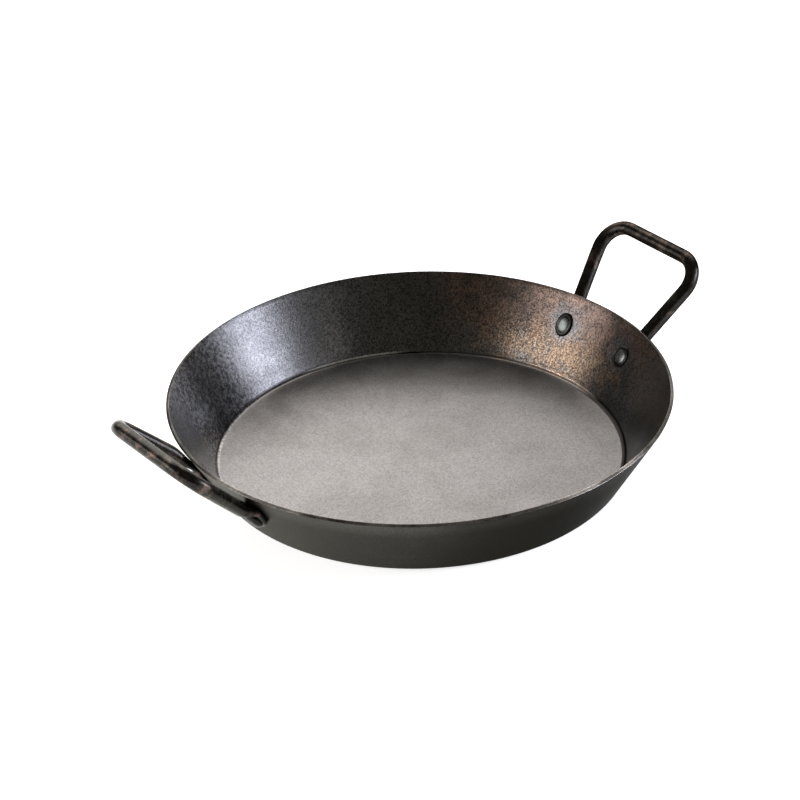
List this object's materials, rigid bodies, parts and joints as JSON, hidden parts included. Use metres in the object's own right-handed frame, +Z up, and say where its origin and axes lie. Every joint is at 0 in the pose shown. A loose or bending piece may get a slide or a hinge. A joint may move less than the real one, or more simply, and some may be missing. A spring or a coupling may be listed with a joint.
{
  "type": "carbon steel pan",
  "caption": "Wide shallow round pan of pressed dark carbon steel with a flat floor, straight leaning wall and riveted rod loop handles, for frying, roasting and shared dishes.",
  "frame": {"origin": "centre of the flat underside, on the surface that the pan stands on", "axes": "+Z up along the pan's axis, out of its mouth; +X towards handle_a and -X towards handle_b; +Y across"},
  "size_m": [0.4906, 0.3808, 0.1065],
  "materials": {
    "seasoned_sheet": "pressed carbon steel sheet with a baked-on oil seasoning: satin, finely speckled, brown to blue-grey clouds",
    "oxidised_rod": "bent carbon steel rod with smooth dark oxide and a thin oil film, half gloss",
    "rivet_steel": "steel rivet with seasoning in the corners and a paler worn crown"
  },
  "bodies": {
    "root": {"pan_body": "seasoned_sheet", "handle_a": "oxidised_rod", "handle_b": "oxidised_rod", "handle_a_rivet_left": "rivet_steel", "handle_a_rivet_right": "rivet_steel", "handle_b_rivet_left": "rivet_steel", "handle_b_rivet_right": "rivet_steel"}
  },
  "joints": []
}
